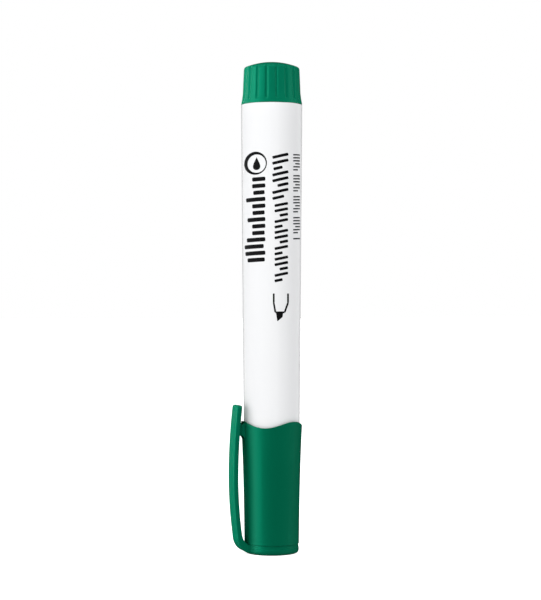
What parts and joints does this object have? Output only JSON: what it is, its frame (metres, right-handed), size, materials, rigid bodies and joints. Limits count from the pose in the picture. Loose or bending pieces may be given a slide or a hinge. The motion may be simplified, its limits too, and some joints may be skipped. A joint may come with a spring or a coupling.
{
  "type": "whiteboard marker",
  "caption": "Capped dry-wipe marker with a tapered white barrel, a fluted end plug, and a flared pull-off cap with a wavy edge and a side clip.",
  "frame": {"origin": "centre of the flat closed end of the cap, on the marker's axis", "axes": "+Z along the marker from the cap's closed end to the domed end plug, with the nib pointing down; the clip lies on the -X side"},
  "size_m": [0.0202, 0.017, 0.137],
  "materials": {
    "white_plastic": "smooth moulded white with a soft gloss",
    "green_plastic": "moulded green with a satin gloss and a fine skin",
    "seal_plastic": "soft natural white, satin",
    "nib_felt": "dense felt soaked with green ink",
    "filler_fibre": "fibre bundle soaked with green ink",
    "film": "thin clear film wrap"
  },
  "bodies": {
    "barrel": {"barrel": "white_plastic", "front_section": "white_plastic", "nib": "nib_felt", "filler": "filler_fibre", "filler_film": "film"},
    "plug": {"end_plug": "green_plastic"},
    "seal": {"inner_cap": "seal_plastic"},
    "cap": {"cap_shell": "green_plastic", "cap_end": "green_plastic"},
    "clip": {"clip": "green_plastic"}
  },
  "joints": [
    {"name": "plug_pull", "type": "slide", "parent": "barrel", "child": "plug", "axis": [0, 0, 1], "range_m": [0, 0.013]},
    {"name": "cap_pull", "type": "slide", "parent": "barrel", "child": "seal", "axis": [0, 0, -1], "range_m": [0, 0.032]},
    {"name": "cap_turn", "type": "hinge", "parent": "seal", "child": "cap", "pos_m": [0, 0, 0], "axis": [0, 0, 1], "continuous": true},
    {"name": "clip_flex", "type": "hinge", "parent": "cap", "child": "clip", "pos_m": [-0.00787, 0, 0.00175], "axis": [0, -1, 0], "range_deg": [0, 5], "stiffness_Nm_per_rad": 0.05}
  ]
}
